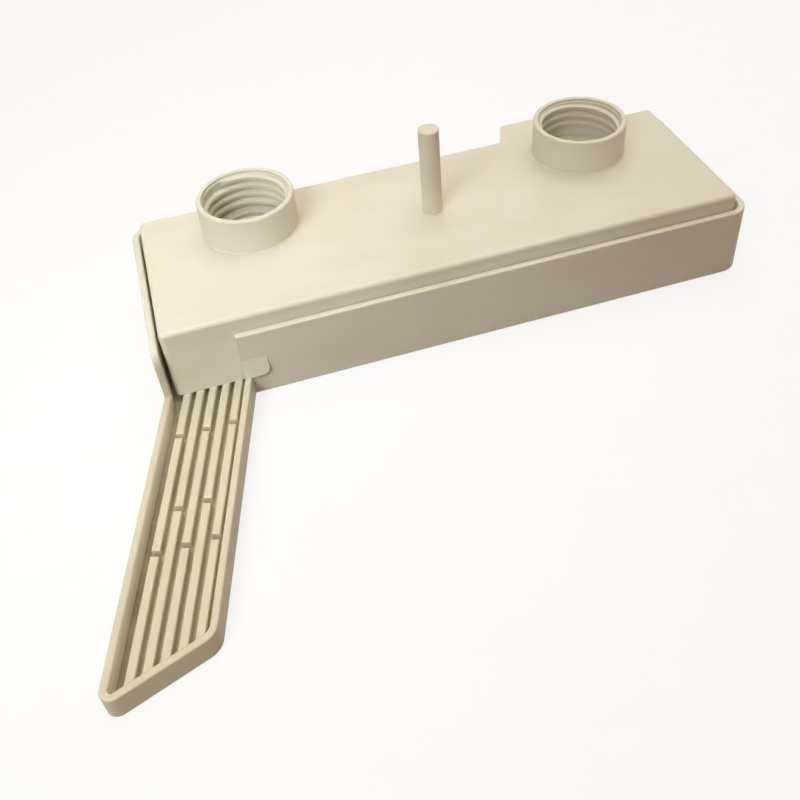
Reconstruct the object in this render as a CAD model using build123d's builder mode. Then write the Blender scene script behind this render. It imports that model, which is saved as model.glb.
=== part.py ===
"""Bottle bee waterer: a tray with a slanted drinking trough, and a loose bell lid with two bottle sockets.

Millimetres, +Z up. The origin is the middle of the underside of the tray's box. +X runs along the box, and
-Y is the side that faces the hive, where the trough leaves the box.
"""
import os
from math import cos, radians, tan

from build123d import *

# Lid: a rectangular bell, open below
lid_length = 189.4
lid_width = 61.2
lid_height = 25.0
lid_wall = 2.0
lid_plate = 2.2
lid_corner_radius = 1.8
lid_edge_radius = 1.5

# Play of the lid in the tray, where it stands pushed towards the front left
gap_left = 1.3
gap_right = 2.6
gap_front = 0.4
gap_rear = 3.1

# Tray: a box with rounded corners, open at the front left
tray_wall = 2.2
tray_floor = 2.0
lid_stand = 5.4
cheek_radius = 4.0
rim_radius = 0.5
foot_radius = 0.6

# Trough: a low channel that leaves the open corner and turns away to the left
trough_length = 100.0
trough_width = 26.3
trough_height = 8.0
trough_turn = 15.8
tip_slant = 19.5
tip_radius = 3.0
heel_radius = 6.0
least_radius = 0.5

# Bars that the bees stand on, cut through in rows so that the water passes across
bar_count = 5
bar_width = 2.5
bar_pitch = 3.9
bar_shift = 0.4
bar_height = 2.8
bar_tail = 9.0
bar_edge_radius = 0.5
break_length = 1.7
break_rows = (14.0, 41.0, 54.0)

# Ribs that carry the lid's edge where there are no bars
rib_width = 2.5
rib_inset = 22.0
rib_overhang = 2.0

# Pad that stiffens the free end of the tray's front wall, thickest at its foot
pad_length = 8.0
pad_rise = 6.5
pad_proud = 1.2
pad_radius = 2.5

# Sockets for the necks of drink bottles
bore_radius = 13.9
bore_plain = 0.5
mouth_plain = 1.0
mouth_step = 0.3
mouth_chamfer = 0.2
socket_inset = 36.0
socket_margin = 0.1
socket_wall = 2.0
socket_rise = 12.2
socket_flare = 0.6
socket_rim_radius = 0.6
ledge_thickness = 2.0
ledge_width = 4.9

# Thread of the sockets, which starts at another angle in each
thread_height = 12.5
thread_depth = 1.1
thread_pitch = 3.2
thread_base = 2.2
thread_crest = 1.0
thread_sink = 0.4
thread_run_out = 20.0
left_thread_angle = 39.5
right_thread_angle = 102.5

# Sealing washers, which lie on the sockets' ledges
washer_width = 4.2
washer_thickness = 1.5
washer_clearance = 0.1

# Lifting peg, pressed into a blind boss in the middle of the lid
peg_diameter = 6.7
peg_rise = 30.0
peg_seat = 8.0
peg_edge_radius = 0.4
peg_interference = 0.02
boss_wall = 2.4
boss_floor = 2.0

# Lifting lip at the rear of the lid, behind the right socket
lip_reach = 9.6
lip_foot = 46.0
lip_tip = 38.4
lip_thickness = 2.2
lip_corner_radius = 1.2

# Tray sizes that follow from the lid and its play
inner_length = lid_length + gap_left + gap_right
inner_width = lid_width + gap_front + gap_rear
outer_length = inner_length + 2 * tray_wall
outer_width = inner_width + 2 * tray_wall
inner_corner_radius = lid_corner_radius + gap_right
outer_corner_radius = inner_corner_radius + tray_wall
rest_level = tray_floor + bar_height
lid_top = rest_level + lid_height
tray_height = lid_top - lid_stand
box_left = -outer_length / 2
box_front = -outer_width / 2

# Trough sizes: its walls run on from the tray's left wall at the bend
trough_wall = tray_wall * cos(radians(trough_turn))
end_angle = trough_turn + tip_slant
turn_slope = tan(radians(trough_turn))
end_slope = tan(radians(end_angle))
mouth_depth = tray_wall + gap_front
mouth_right = box_left + (trough_width - trough_wall) / cos(radians(trough_turn))
bar_depth = mouth_depth + lid_wall + bar_tail

# Lid places
lid_x = (gap_left - gap_right) / 2
lid_y = (gap_front - gap_rear) / 2
lid_rear = lid_y + lid_width / 2
rib_right = lid_x + lid_length / 2 - rib_inset
rib_left = lid_x - lid_length / 2 + rib_inset

# Socket sizes, from the bore outwards and from the rim downwards
socket_radius = bore_radius + socket_wall
mouth_radius = bore_radius + mouth_step
throat_radius = bore_radius - ledge_width
washer_radius = bore_radius - washer_clearance
socket_rim = lid_top + socket_rise
mouth_floor = socket_rim - mouth_plain
thread_floor = mouth_floor - thread_height
thread_turn = 360 * (thread_height - thread_base) / thread_pitch
ledge_top = thread_floor - bore_plain - washer_thickness
ledge_under = ledge_top - ledge_thickness
socket_y = lid_rear - socket_margin - socket_radius
left_socket_x = lid_x - lid_length / 2 + socket_inset
right_socket_x = lid_x + lid_length / 2 - socket_inset

# Peg sizes
peg_radius = peg_diameter / 2
peg_foot = lid_top - peg_seat
boss_radius = peg_radius + boss_wall

# The trough is drawn from the box's front left corner, x across the trough and y back along it
trough_plane = Plane(
    origin=(box_left, box_front, 0),
    x_dir=Vector(1, 0, 0).rotate(Axis.Z, -trough_turn),
    z_dir=(0, 0, 1),
)


def trough_outline(wall, depth):
    """Corners of the trough in plan, its sides moved in by wall and its open end taken into the box by depth."""
    left = wall
    right = trough_width - wall
    end = wall / cos(radians(end_angle)) - trough_length
    back = Vector(0, depth).rotate(Axis.Z, trough_turn)
    bend = Vector(left, left * turn_slope)
    tip = Vector(left, end + left * end_slope)
    heel = Vector(right, end + right * end_slope)
    root = Vector(right, right * turn_slope)
    return [bend, tip, heel, root, root + back, bend + back]


def trough_face(wall, depth):
    """Draw the trough in plan, with its two end corners rounded."""
    corners = trough_outline(wall, depth)
    with BuildLine() as outline:
        Polyline(*corners, close=True)
    make_face(outline.edges())
    for corner, radius in ((corners[1], tip_radius), (corners[2], heel_radius)):
        fillet(vertices().sort_by_distance(corner)[0], max(radius - wall, least_radius))


def box_face(length, width, radius):
    """Draw the tray's box in plan, with a sharp corner where the trough leaves it."""
    Rectangle(length, width)
    open_corner = Vector(-length / 2, -width / 2)
    fillet(vertices().sort_by_distance(open_corner)[1:], radius)


def bar_x(index):
    """Middle of a bar, across the trough."""
    return trough_width / 2 + bar_shift + (index - (bar_count - 1) / 2) * bar_pitch


def bar_faces():
    """Draw the bars in plan, from the trough's end wall to some way under the lid."""
    with Locations(*[(bar_x(index), 0) for index in range(bar_count)]):
        Rectangle(bar_width, 2 * (trough_length + bar_depth))
    with BuildLine() as zone:
        Polyline(*trough_outline(trough_wall / 2, bar_depth), close=True)
    make_face(zone.edges(), mode=Mode.INTERSECT)
    for row, distance in enumerate(break_rows):
        for index in range(row % 2, bar_count, 2):
            with Locations((bar_x(index), bar_x(index) * turn_slope - distance / cos(radians(trough_turn)))):
                Rectangle(bar_pitch, break_length, mode=Mode.SUBTRACT)


with BuildPart() as bars:
    with BuildSketch(trough_plane.offset(tray_floor)):
        bar_faces()
    extrude(amount=bar_height)
    fillet(edges().group_by(Axis.Z)[-1], bar_edge_radius)

with BuildPart() as tray:
    with BuildSketch():
        box_face(outer_length, outer_width, outer_corner_radius)
    extrude(amount=tray_height)
    with BuildSketch(trough_plane):
        trough_face(0, mouth_depth)
    extrude(amount=trough_height)
    fillet(edges().group_by(Axis.Z)[0], foot_radius)
    with BuildSketch(Plane.XY.offset(tray_floor)):
        box_face(inner_length, inner_width, inner_corner_radius)
    extrude(amount=tray_height, mode=Mode.SUBTRACT)
    with BuildSketch(trough_plane.offset(tray_floor)):
        trough_face(trough_wall, mouth_depth)
    extrude(amount=tray_height, mode=Mode.SUBTRACT)
    # The left wall's free end has a round shoulder
    cheek = Vector(box_left + tray_wall / 2, box_front, tray_height)
    fillet(edges().filter_by(Axis.X).sort_by_distance(cheek)[0], cheek_radius)
    # The front wall's free end thickens downwards into a pad on its outside
    with BuildSketch(Plane.YZ.offset(mouth_right)):
        with BuildLine():
            Polyline(
                (box_front, trough_height),
                (box_front - pad_proud, trough_height),
                (box_front, trough_height + pad_rise),
                close=True,
            )
        make_face()
    extrude(amount=pad_length)
    pad_corner = Vector(mouth_right + pad_length, box_front - pad_proud / 2, trough_height)
    fillet(edges().filter_by(Axis.Y).sort_by_distance(pad_corner)[0], pad_radius)
    fillet(edges().group_by(Axis.Z)[-1], rim_radius)
    trough_rim = edges().filter_by_position(Axis.Z, trough_height, trough_height)
    fillet(trough_rim.filter_by(lambda edge: edge.center().Y < box_front - trough_width / 2), rim_radius)
    add(bars.part)
    with BuildSketch(Plane.XY.offset(tray_floor)):
        with Locations((rib_left, inner_width / 2), (rib_right, inner_width / 2)):
            Rectangle(rib_width, gap_rear + lid_wall + rib_overhang, align=(Align.CENTER, Align.MAX))
        with Locations((rib_right, -inner_width / 2)):
            Rectangle(rib_width, gap_front + lid_wall + rib_overhang, align=(Align.CENTER, Align.MIN))
    extrude(amount=bar_height)

with BuildPart() as thread:
    with BuildLine() as thread_path:
        Helix(thread_pitch, thread_height - thread_base, bore_radius, center=(0, 0, thread_base / 2))
    with BuildSketch(Plane(thread_path.line @ 0, x_dir=(1, 0, 0), z_dir=thread_path.line % 0)):
        with BuildLine():
            Polyline(
                (thread_sink, -thread_base / 2),
                (0, -thread_base / 2),
                (-thread_depth, -thread_crest / 2),
                (-thread_depth, thread_crest / 2),
                (0, thread_base / 2),
                (thread_sink, thread_base / 2),
                close=True,
            )
        make_face()
    sweep(path=thread_path.line, is_frenet=True)
    # Both ends thin towards the wall, so that a bottle's thread finds its way in
    thread_ends = (
        ((thread_base - thread_pitch) / 2, 0, thread_run_out),
        (thread_height - (thread_base + thread_pitch) / 2, thread_turn, -thread_run_out),
    )
    for level, angle, run_out in thread_ends:
        with BuildSketch(Plane.XY.offset(level).rotated((0, 0, angle))):
            wall_point = Vector(bore_radius, 0)
            crest_point = Vector(bore_radius - thread_depth - thread_sink, 0).rotate(Axis.Z, run_out)
            with BuildLine():
                Polyline((0, 0), crest_point, 2 * wall_point - crest_point, close=True)
            make_face()
        extrude(amount=thread_pitch, mode=Mode.SUBTRACT)


def socket_wall_section():
    """Half section of a socket's outside: ledge, wall and rim, with a flare where it leaves the lid."""
    flare_radius = socket_radius + socket_flare
    plate_under = lid_top - lid_plate
    with BuildLine() as section:
        Polyline(
            (0, socket_rim),
            (0, ledge_under),
            (socket_radius, ledge_under),
            (socket_radius, plate_under),
            (flare_radius, plate_under),
            (flare_radius, lid_top),
        )
        RadiusArc((flare_radius, lid_top), (socket_radius, lid_top + socket_flare), socket_flare)
        Line((socket_radius, lid_top + socket_flare), (socket_radius, socket_rim))
        Line((socket_radius, socket_rim), (0, socket_rim))
    make_face(section.edges())
    fillet(vertices().sort_by_distance(Vector(socket_radius, socket_rim))[0], socket_rim_radius)


def socket_bore_section():
    """Half section of a socket's inside: wider plain mouth, bore, ledge and throat."""
    with BuildLine() as section:
        Polyline(
            (0, ledge_under),
            (throat_radius, ledge_under),
            (throat_radius, ledge_top),
            (bore_radius, ledge_top),
            (bore_radius, mouth_floor - mouth_step),
            (mouth_radius, mouth_floor),
            (mouth_radius, socket_rim - mouth_chamfer),
            (mouth_radius + mouth_chamfer, socket_rim),
            (0, socket_rim),
            close=True,
        )
    make_face(section.edges())


socket_places = ((left_socket_x, socket_y), (right_socket_x, socket_y))
thread_angles = (left_thread_angle, right_thread_angle)
socket_planes = [Plane((x, y, 0), x_dir=(1, 0, 0), z_dir=(0, -1, 0)) for x, y in socket_places]
socket_axes = [Axis((x, y, 0), (0, 0, 1)) for x, y in socket_places]

with BuildPart() as lid:
    with BuildSketch(Plane((lid_x, lid_y, rest_level))):
        RectangleRounded(lid_length, lid_width, lid_corner_radius)
    extrude(amount=lid_height)
    fillet(edges().group_by(Axis.Z)[-1], lid_edge_radius)
    with BuildSketch(Plane((lid_x, lid_y, rest_level))):
        Rectangle(lid_length - 2 * lid_wall, lid_width - 2 * lid_wall)
    extrude(amount=lid_height - lid_plate, mode=Mode.SUBTRACT)
    for plane, axis in zip(socket_planes, socket_axes):
        with BuildSketch(plane):
            socket_wall_section()
        revolve(axis=axis)
    # The flares stop flush with the lid's rear wall
    with BuildSketch(Plane((lid_x, lid_rear, rest_level))):
        Rectangle(lid_length, 2 * socket_flare, align=(Align.CENTER, Align.MIN))
    extrude(amount=socket_rim - rest_level, mode=Mode.SUBTRACT)
    for plane, axis in zip(socket_planes, socket_axes):
        with BuildSketch(plane):
            socket_bore_section()
        revolve(axis=axis, mode=Mode.SUBTRACT)
    for (x, y), angle in zip(socket_places, thread_angles):
        with Locations(Location((x, y, thread_floor), (0, 0, angle))):
            add(thread.part)
    # Blind boss for the peg
    with BuildSketch(Plane((lid_x, lid_y, lid_top - lid_plate))):
        Circle(boss_radius)
    extrude(amount=lid_plate - peg_seat - boss_floor)
    with Locations((lid_x, lid_y, lid_top)):
        Hole(peg_radius - peg_interference, depth=peg_seat)
    # Lifting lip, flush with the top
    with BuildSketch(Plane((right_socket_x, lid_rear, lid_top - lip_thickness))):
        with BuildLine():
            Polyline(
                (-lip_foot / 2, -lid_edge_radius),
                (-lip_foot / 2, 0),
                (-lip_tip / 2, lip_reach),
                (lip_tip / 2, lip_reach),
                (lip_foot / 2, 0),
                (lip_foot / 2, -lid_edge_radius),
                close=True,
            )
        make_face()
        fillet(vertices().group_by(Axis.Y)[-1], lip_corner_radius)
    extrude(amount=lip_thickness)

with BuildPart() as lift_peg:
    with BuildSketch(Plane((lid_x, lid_y, peg_foot))):
        Circle(peg_radius)
    extrude(amount=peg_seat + peg_rise)
    fillet(edges().group_by(Axis.Z)[-1], peg_edge_radius)


def washer(place):
    """A flat sealing ring on a socket's ledge."""
    x, y = place
    with BuildPart() as ring:
        with BuildSketch(Plane((x, y, ledge_top))):
            Circle(washer_radius)
            Circle(washer_radius - washer_width, mode=Mode.SUBTRACT)
        extrude(amount=washer_thickness)
    return ring


left_washer = washer(socket_places[0])
right_washer = washer(socket_places[1])

os.makedirs("parts", exist_ok=True)
pieces = {
    "tray": tray,
    "lid": lid,
    "lift_peg": lift_peg,
    "left_washer": left_washer,
    "right_washer": right_washer,
}
for name, piece in pieces.items():
    piece.part.label = name
    export_step(piece.part, f"parts/{name}.step")
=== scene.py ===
from math import radians

import bpy
from mathutils import Matrix, Vector

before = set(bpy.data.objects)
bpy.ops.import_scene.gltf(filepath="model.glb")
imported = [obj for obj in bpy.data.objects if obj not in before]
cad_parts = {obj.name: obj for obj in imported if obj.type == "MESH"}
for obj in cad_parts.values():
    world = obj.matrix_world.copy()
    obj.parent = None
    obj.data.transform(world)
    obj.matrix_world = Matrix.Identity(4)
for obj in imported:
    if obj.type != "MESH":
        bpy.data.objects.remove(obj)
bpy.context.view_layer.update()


# Tray: one injection moulding in ivory polypropylene, a box with a slanted trough that the bees drink from.
# It stands on its flat underside, and the bars and ribs on its floor carry the lid. Its inner corners are
# darkened with dust and painted shade, more so below the waterline in the grooves between the bars.
box_front = -0.0362  # just in front of the box's front wall
lid_front = -0.0322  # just in front of the lid
wall_end = -0.0737  # the front wall's free end, beside the trough
trough_across = (0.9622, -0.2723, 0.0)  # the way across the trough, from left to right
left_wall = -0.0836  # the inner face of the trough's left wall, measured that way
first_bar = -0.0813  # the first bar's left side, measured that way
end_way = (0.3338, -0.9426, 0.0)  # the way that the trough's end wall faces
end_wall = 0.0790  # its inner face, measured that way
trough_floor = 0.0021  # just above it
shadow_full = -0.075  # the painted shadow on the groove's floor is darkest beyond this
shadow_thin = -0.045  # and is lighter here, near the box
box_fade = 0.003
edge_fade = 0.001
groove_fade = 0.0005
wall_light_fade = 0.0001


def linear(srgb_hex):
    """Turn an sRGB hex colour to the linear RGBA that shader sockets take."""
    channels = [int(srgb_hex[start:start + 2], 16) / 255 for start in (0, 2, 4)]
    return (*[c / 12.92 if c <= 0.04045 else ((c + 0.055) / 1.055) ** 2.4 for c in channels], 1.0)


def per_metre(size_mm):
    """Texture scale that gives cells of about this size, because object coordinates are metres."""
    return 1000.0 / size_mm


def add_node(tree, kind, sockets=None, **settings):
    """Add a shader node, set its properties, and set or link its input sockets."""
    node = tree.nodes.new(kind)
    for setting, value in settings.items():
        setattr(node, setting, value)
    for socket, value in (sockets or {}).items():
        if isinstance(value, bpy.types.NodeSocket):
            tree.links.new(value, node.inputs[socket])
        else:
            node.inputs[socket].default_value = value
    return node


def set_stops(ramp, stops):
    """Give a colour ramp its stops, as pairs of place and sRGB hex."""
    elements = ramp.color_ramp.elements
    while len(elements) < len(stops):
        elements.new(1.0)
    for element, (place, srgb_hex) in zip(elements, stops):
        element.position = place
        element.color = linear(srgb_hex)


def moulded_polypropylene(name, tones, flow, waterline):
    """Ivory polypropylene as it leaves the mould: satin, a little translucent, with pigment that did not mix
    quite evenly and a fine spark-eroded grain. Its inner corners are darkened with dust and painted shade, the
    trough is tinted with painted warm light, and its widest groove has painted light and a painted shadow."""
    material = bpy.data.materials.new(name)
    material.use_nodes = True
    tree = material.node_tree
    tree.nodes.clear()
    place = add_node(tree, "ShaderNodeTexCoord").outputs["Object"]
    axes = add_node(tree, "ShaderNodeSeparateXYZ", {"Vector": place})

    # Clouds of pigment about 30 mm across
    pigment = add_node(tree, "ShaderNodeTexNoise", {
        "Vector": place, "Scale": per_metre(30.0), "Detail": 3.0, "Roughness": 0.55})
    ivory = add_node(tree, "ShaderNodeValToRGB", {"Fac": pigment.outputs["Fac"]})
    set_stops(ivory, [(0.30, tones[0]), (0.50, tones[1]), (0.70, tones[2])])

    # Faint flow marks about 14 mm wide, drawn out along the melt's way
    along = add_node(tree, "ShaderNodeMapping", {"Vector": place, "Scale": flow})
    streaks = add_node(tree, "ShaderNodeTexNoise", {
        "Vector": along.outputs["Vector"], "Scale": per_metre(14.0), "Detail": 1.0, "Roughness": 0.4})
    shade = add_node(tree, "ShaderNodeValToRGB", {"Fac": streaks.outputs["Fac"]})
    set_stops(shade, [(0.30, "FAF9F6"), (0.70, "FFFFFF")])
    streaked = add_node(tree, "ShaderNodeMix", {
        "Factor": 1.0, "A": ivory.outputs["Color"], "B": shade.outputs["Color"]},
        data_type="RGBA", blend_type="MULTIPLY")

    # Dust and painted shade in corners within 4 mm of another face, patchy in spots of about 6 mm, and heavier
    # below the waterline
    nook = add_node(tree, "ShaderNodeAmbientOcclusion", {"Distance": 0.004}, samples=8, only_local=True)
    sheltered = add_node(tree, "ShaderNodeMapRange", {
        "Value": nook.outputs["AO"], "From Min": 0.25, "From Max": 0.75, "To Min": 1.0, "To Max": 0.0})
    soiling_and_shade = add_node(tree, "ShaderNodeMapRange", {
        "Value": axes.outputs["Z"], "From Min": waterline - edge_fade, "From Max": waterline,
        "To Min": 0.55, "To Max": 0.3})
    patches = add_node(tree, "ShaderNodeTexNoise", {
        "Vector": place, "Scale": per_metre(6.0), "Detail": 3.0, "Roughness": 0.6})
    shade_and_dust_weight = add_node(tree, "ShaderNodeMath", {
        0: sheltered.outputs["Result"], 1: soiling_and_shade.outputs["Result"]}, operation="MULTIPLY")
    patchy_shade_and_dust = add_node(tree, "ShaderNodeMath", {
        0: shade_and_dust_weight.outputs["Value"], 1: patches.outputs["Fac"]}, operation="MULTIPLY")
    # The corners are darkened by dust together with painted shade
    dust_and_shade = add_node(tree, "ShaderNodeMix", {
        "Factor": patchy_shade_and_dust.outputs["Value"], "A": streaked.outputs["Result"], "B": linear("8C7A5C")},
        data_type="RGBA")

    # A painted warm light tints the trough: all that lies in front of the box, and the bars in the open corner
    in_front = add_node(tree, "ShaderNodeMapRange", {
        "Value": axes.outputs["Y"], "From Min": box_front - box_fade, "From Max": box_front,
        "To Min": 1.0, "To Max": 0.0})
    past_lid = add_node(tree, "ShaderNodeMapRange", {
        "Value": axes.outputs["Y"], "From Min": lid_front - edge_fade, "From Max": lid_front,
        "To Min": 1.0, "To Max": 0.0})
    past_wall = add_node(tree, "ShaderNodeMapRange", {
        "Value": axes.outputs["X"], "From Min": wall_end - edge_fade, "From Max": wall_end,
        "To Min": 1.0, "To Max": 0.0})
    in_corner = add_node(tree, "ShaderNodeMath", {
        0: past_lid.outputs["Result"], 1: past_wall.outputs["Result"]}, operation="MULTIPLY")
    painted_warm_light_mask = add_node(tree, "ShaderNodeMath", {
        0: in_front.outputs["Result"], 1: in_corner.outputs["Value"]}, operation="MAXIMUM")
    # Painted warm light: a yellower tint multiplied over the trough
    painted_warm_light = add_node(tree, "ShaderNodeMix", {
        "Factor": painted_warm_light_mask.outputs["Value"], "A": dust_and_shade.outputs["Result"], "B": linear("F1ECE0")},
        data_type="RGBA", blend_type="MULTIPLY")

    # The widest groove lies along the trough's left wall. That wall is painted lighter, a painted light that
    # stands in for light coming through the thin wall, and the groove's floor has a painted shadow, darkest
    # far from the box
    across = add_node(tree, "ShaderNodeVectorMath", {0: place, 1: trough_across}, operation="DOT_PRODUCT")
    past_rim = add_node(tree, "ShaderNodeMapRange", {
        "Value": across.outputs["Value"], "From Min": left_wall - wall_light_fade, "From Max": left_wall})
    past_bars = add_node(tree, "ShaderNodeMapRange", {
        "Value": across.outputs["Value"], "From Min": first_bar - groove_fade, "From Max": first_bar,
        "To Min": 1.0, "To Max": 0.0})
    outward = add_node(tree, "ShaderNodeVectorMath", {0: place, 1: end_way}, operation="DOT_PRODUCT")
    short_of_end = add_node(tree, "ShaderNodeMapRange", {
        "Value": outward.outputs["Value"], "From Min": end_wall - groove_fade, "From Max": end_wall,
        "To Min": 1.0, "To Max": 0.0})
    breadth = add_node(tree, "ShaderNodeMath", {
        0: past_rim.outputs["Result"], 1: past_bars.outputs["Result"]}, operation="MULTIPLY")
    length = add_node(tree, "ShaderNodeMath", {
        0: in_front.outputs["Result"], 1: short_of_end.outputs["Result"]}, operation="MULTIPLY")
    wide_groove = add_node(tree, "ShaderNodeMath", {
        0: breadth.outputs["Value"], 1: length.outputs["Value"]}, operation="MULTIPLY")
    cover = add_node(tree, "ShaderNodeMapRange", {
        "Value": patches.outputs["Fac"], "From Min": 0.3, "From Max": 0.7, "To Min": 0.75, "To Max": 0.95})
    groove_light_and_shade_mask = add_node(tree, "ShaderNodeMath", {
        0: wide_groove.outputs["Value"], 1: cover.outputs["Result"]}, operation="MULTIPLY")
    # Painted light on the trough's left wall
    painted_wall_light = add_node(tree, "ShaderNodeMix", {
        "Factor": groove_light_and_shade_mask.outputs["Value"], "A": painted_warm_light.outputs["Result"], "B": linear("F6F5EA")},
        data_type="RGBA")
    on_floor = add_node(tree, "ShaderNodeMapRange", {
        "Value": axes.outputs["Z"], "From Min": trough_floor, "From Max": trough_floor + groove_fade,
        "To Min": 1.0, "To Max": 0.0})
    far_out = add_node(tree, "ShaderNodeMapRange", {
        "Value": axes.outputs["Y"], "From Min": shadow_full, "From Max": shadow_thin,
        "To Min": 1.0, "To Max": 0.75})
    shadow_on_floor = add_node(tree, "ShaderNodeMath", {
        0: on_floor.outputs["Result"], 1: far_out.outputs["Result"]}, operation="MULTIPLY")
    painted_floor_shadow_mask = add_node(tree, "ShaderNodeMath", {
        0: groove_light_and_shade_mask.outputs["Value"], 1: shadow_on_floor.outputs["Value"]}, operation="MULTIPLY")
    # Painted shadow on the floor of the widest groove
    painted_floor_shadow = add_node(tree, "ShaderNodeMix", {
        "Factor": painted_floor_shadow_mask.outputs["Value"], "A": painted_wall_light.outputs["Result"], "B": linear("8A784E")},
        data_type="RGBA")

    # The mould's grain is about 0.3 mm in life, drawn here at 0.9 mm so that it shows, over a slow sink
    # of the skin about 35 mm across and edges softened by 0.25 mm
    grain = add_node(tree, "ShaderNodeTexNoise", {
        "Vector": place, "Scale": per_metre(0.9), "Detail": 2.0, "Roughness": 0.5})
    sink = add_node(tree, "ShaderNodeTexNoise", {
        "Vector": place, "Scale": per_metre(35.0), "Detail": 1.0, "Roughness": 0.4})
    soft_edge = add_node(tree, "ShaderNodeBevel", {"Radius": 0.00025}, samples=6)
    sunk = add_node(tree, "ShaderNodeBump", {
        "Height": sink.outputs["Fac"], "Normal": soft_edge.outputs["Normal"],
        "Strength": 0.6, "Distance": 0.0006})
    grained = add_node(tree, "ShaderNodeBump", {
        "Height": grain.outputs["Fac"], "Normal": sunk.outputs["Normal"],
        "Strength": 0.25, "Distance": 0.0001})
    satin = add_node(tree, "ShaderNodeMapRange", {
        "Value": grain.outputs["Fac"], "From Min": 0.3, "From Max": 0.7, "To Min": 0.38, "To Max": 0.52})

    # Light goes about 2 mm deep, as far as the walls are thick, and red goes deepest
    skin = add_node(tree, "ShaderNodeBsdfPrincipled", {
        "Base Color": painted_floor_shadow.outputs["Result"], "Roughness": satin.outputs["Result"],
        "Normal": grained.outputs["Normal"], "IOR": 1.49,
        "Subsurface Weight": 0.25, "Subsurface Radius": (1.0, 0.8, 0.55), "Subsurface Scale": 0.002})
    add_node(tree, "ShaderNodeOutputMaterial", {"Surface": skin.outputs["BSDF"]})
    return material


def dress(node, material):
    """Give a solid its finish."""
    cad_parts[node].material_slots[0].material = material


dress("tray", moulded_polypropylene(
    "ivory_polypropylene_tray", tones=("E2E0CD", "E5E3D1", "E7E6D5"), flow=(0.4, 1.0, 1.0), waterline=0.0045))


# Lid: a second moulding in the same polypropylene, a bell without a bottom that stands loose in the tray.
# Two threaded sockets rise from its top for the necks of the bottles, and a flat lip at the rear lifts it.
dress("lid", moulded_polypropylene(
    "ivory_polypropylene_lid", tones=("E2E0CD", "E5E3D1", "E7E6D5"), flow=(0.5, 1.0, 1.0), waterline=0.007))


# Lifting peg: a length of drawn polypropylene rod with a lightly rounded top end, pressed into a boss in the
# middle of the lid. It is a little yellower than the mouldings, and its flow marks run along it.
dress("lift_peg", moulded_polypropylene(
    "ivory_polypropylene_rod", tones=("DED8C0", "E2DDC5", "E5E1CB"), flow=(1.0, 1.0, 0.06), waterline=0.0))


# Washers: two flat rings punched from pale natural rubber sheet, which lie loose on the ledges at the bottom
# of the sockets. The bottles' mouths are screwed down on them.
washer_skin = bpy.data.materials.new("pale_natural_rubber_sheet")
washer_skin.use_nodes = True
washer_tree = washer_skin.node_tree
washer_tree.nodes.clear()
washer_place = add_node(washer_tree, "ShaderNodeTexCoord").outputs["Object"]
# Matt rubber with filler specks of about 0.6 mm and a cloudy tone in patches of about 5 mm
specks = add_node(washer_tree, "ShaderNodeTexNoise", {
    "Vector": washer_place, "Scale": per_metre(0.6), "Detail": 2.0, "Roughness": 0.6})
clouds = add_node(washer_tree, "ShaderNodeTexNoise", {
    "Vector": washer_place, "Scale": per_metre(5.0), "Detail": 3.0, "Roughness": 0.5})
rubber_tone = add_node(washer_tree, "ShaderNodeValToRGB", {"Fac": clouds.outputs["Fac"]})
set_stops(rubber_tone, [(0.3, "CAC1AF"), (0.7, "D6CEBE")])
speck_tone = add_node(washer_tree, "ShaderNodeValToRGB", {"Fac": specks.outputs["Fac"]})
set_stops(speck_tone, [(0.32, "E8E4DC"), (0.42, "FFFFFF")])
rubber_colour = add_node(washer_tree, "ShaderNodeMix", {
    "Factor": 1.0, "A": rubber_tone.outputs["Color"], "B": speck_tone.outputs["Color"]},
    data_type="RGBA", blend_type="MULTIPLY")
rubber_skin = add_node(washer_tree, "ShaderNodeBump", {
    "Height": specks.outputs["Fac"], "Strength": 0.4, "Distance": 0.00015})
rubber_sheen = add_node(washer_tree, "ShaderNodeMapRange", {
    "Value": clouds.outputs["Fac"], "From Min": 0.3, "From Max": 0.7, "To Min": 0.72, "To Max": 0.85})
rubber = add_node(washer_tree, "ShaderNodeBsdfPrincipled", {
    "Base Color": rubber_colour.outputs["Result"], "Roughness": rubber_sheen.outputs["Result"],
    "Normal": rubber_skin.outputs["Normal"], "IOR": 1.52})
add_node(washer_tree, "ShaderNodeOutputMaterial", {"Surface": rubber.outputs["BSDF"]})
dress("left_washer", washer_skin)
dress("right_washer", washer_skin)


# Floor: a wide sheet of matt pale paper under the waterer. The camera, gloss and glass see it almost white,
# and the soft shadow stays on it.
floor_half = 3.0
floor_drop = 0.0001
shadow_reach = 0.3
white_reach = 0.8
floor_mesh = bpy.data.meshes.new("floor")
floor_mesh.from_pydata(
    [(-floor_half, -floor_half, 0.0), (floor_half, -floor_half, 0.0),
     (floor_half, floor_half, 0.0), (-floor_half, floor_half, 0.0)], [], [(0, 1, 2, 3)])
floor = bpy.data.objects.new("floor", floor_mesh)
floor.location.z = -floor_drop
bpy.context.scene.collection.objects.link(floor)


def seen_rays(tree):
    """1 for the rays that show the background: those of the camera, of gloss and of glass."""
    path = add_node(tree, "ShaderNodeLightPath")
    mirrored = add_node(tree, "ShaderNodeMath", {
        0: path.outputs["Is Glossy Ray"], 1: path.outputs["Is Transmission Ray"]}, operation="MAXIMUM")
    seen = add_node(tree, "ShaderNodeMath", {
        0: path.outputs["Is Camera Ray"], 1: mirrored.outputs["Value"]}, operation="MAXIMUM")
    return seen.outputs["Value"]


paper = bpy.data.materials.new("pale_matt_paper")
paper.use_nodes = True
paper_tree = paper.node_tree
paper_tree.nodes.clear()
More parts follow.
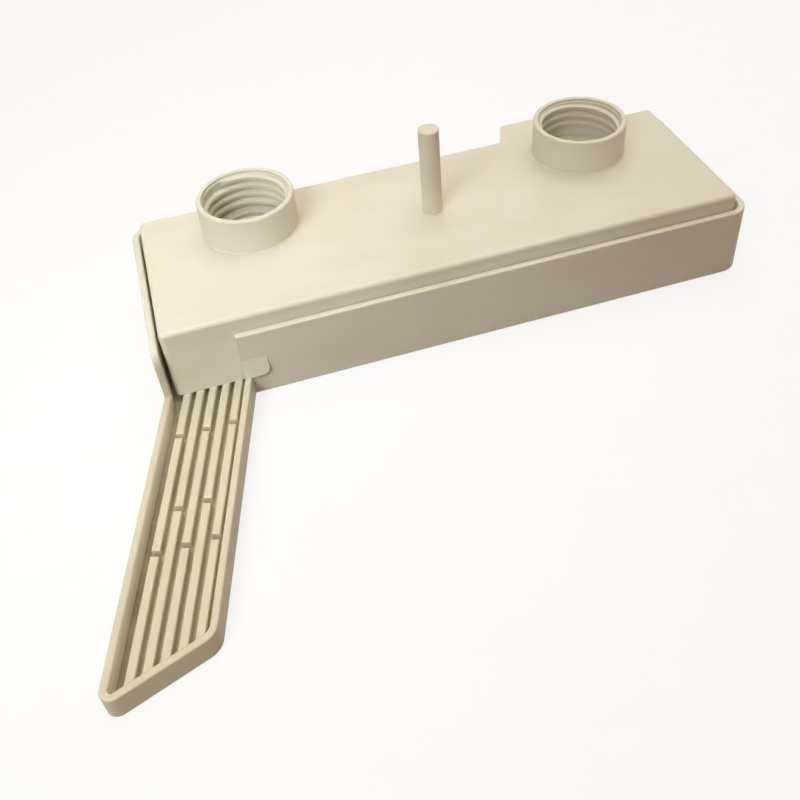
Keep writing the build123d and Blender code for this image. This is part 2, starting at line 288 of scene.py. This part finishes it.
# Felt marks about 12 mm across that are just short of visible
paper_place = add_node(paper_tree, "ShaderNodeTexCoord").outputs["Object"]
fibres = add_node(paper_tree, "ShaderNodeTexNoise", {
    "Vector": paper_place, "Scale": per_metre(12.0), "Detail": 3.0})
paper_tone = add_node(paper_tree, "ShaderNodeValToRGB", {"Fac": fibres.outputs["Fac"]})
set_stops(paper_tone, [(0.3, "F6F5F3"), (0.7, "FAF9F8")])
paper_seen = seen_rays(paper_tree)
# Its bounce is held to that of warm grey card, so that the walls of the waterer keep their shade
bounce = add_node(paper_tree, "ShaderNodeMix", {
    "Factor": paper_seen, "A": linear("8F7C69"), "B": paper_tone.outputs["Color"]}, data_type="RGBA")
matt = add_node(paper_tree, "ShaderNodeBsdfDiffuse", {"Color": bounce.outputs["Result"]})
glow = add_node(paper_tree, "ShaderNodeEmission", {"Color": linear("FFFFFF"), "Strength": 1.0})
# The paper runs out from where the shadow lies to pure white
reach = add_node(paper_tree, "ShaderNodeVectorMath", {0: paper_place}, operation="LENGTH")
whiteness = add_node(paper_tree, "ShaderNodeMapRange", {
    "Value": reach.outputs["Value"], "From Min": shadow_reach, "From Max": white_reach,
    "To Min": 0.8, "To Max": 1.0})
share = add_node(paper_tree, "ShaderNodeMath", {
    0: paper_seen, 1: whiteness.outputs["Result"]}, operation="MULTIPLY")
lit_paper = add_node(paper_tree, "ShaderNodeMixShader", {
    0: share.outputs["Value"], 1: matt.outputs["BSDF"], 2: glow.outputs["Emission"]})
add_node(paper_tree, "ShaderNodeOutputMaterial", {"Surface": lit_paper.outputs["Shader"]})
floor_mesh.materials.append(paper)


# Light: one large soft panel overhead, which makes the lid's top the brightest face, two smaller cool panels
# above the front left, whose light fades along the front walls towards the right, and a dim warm room.
def add_panel(name, place, target, size, spread, watts, srgb_hex):
    """Hang a square soft panel that faces a point, with a grid that holds its light to so many degrees."""
    lamp = bpy.data.lights.new(name, "AREA")
    lamp.size = size
    lamp.spread = radians(spread)
    lamp.energy = watts
    lamp.color = linear(srgb_hex)[:3]
    panel = bpy.data.objects.new(name, lamp)
    panel.location = place
    panel.rotation_euler = (Vector(target) - Vector(place)).to_track_quat("-Z", "Y").to_euler()
    bpy.context.scene.collection.objects.link(panel)


add_panel("overhead_panel", place=(0.18, 0.22, 0.95), target=(0.0, 0.0, 0.0),
          size=1.0, spread=180.0, watts=5.6, srgb_hex="FFFFF6")
add_panel("front_left_panel", place=(-0.34, -0.36, 0.42), target=(-0.11, -0.03, 0.02),
          size=0.30, spread=38.0, watts=0.13, srgb_hex="ECF4FF")
add_panel("near_left_panel", place=(-0.30, -0.20, 0.30), target=(-0.11, -0.02, 0.02),
          size=0.15, spread=50.0, watts=0.05, srgb_hex="ECF4FF")

room = bpy.data.worlds.new("room")
room.use_nodes = True
room_tree = room.node_tree
room_tree.nodes.clear()
dim = add_node(room_tree, "ShaderNodeBackground", {"Color": linear("FFD6B4"), "Strength": 0.31})
white = add_node(room_tree, "ShaderNodeBackground", {"Color": linear("FFFFFF"), "Strength": 1.0})
room_light = add_node(room_tree, "ShaderNodeMixShader", {
    0: seen_rays(room_tree), 1: dim.outputs["Background"], 2: white.outputs["Background"]})
add_node(room_tree, "ShaderNodeOutputWorld", {"Surface": room_light.outputs["Shader"]})
bpy.context.scene.world = room


# Camera: above the front left, where the photograph was taken from. Its place, axes and lens are fitted to
# the waterer's straight edges.
camera_place = Vector((-0.0741, -0.2517, 0.21175))
camera_right = Vector((0.9547, -0.2893, -0.0691))
camera_up = Vector((0.2466, 0.6400, 0.7277))
camera_back = Vector((-0.1663, -0.7118, 0.6824))
camera_lens = bpy.data.cameras.new("camera")
camera_lens.sensor_width = 36.0
camera_lens.lens = 42.70
camera_lens.shift_x = -0.0020
camera_lens.shift_y = -0.0658
camera_lens.clip_start = 0.01
camera = bpy.data.objects.new("camera", camera_lens)
camera.matrix_world = Matrix.Translation(camera_place) @ Matrix(
    (camera_right, camera_up, camera_back)).transposed().to_4x4()
bpy.context.scene.collection.objects.link(camera)
bpy.context.scene.camera = camera
bpy.context.scene.view_settings.view_transform = "Standard"
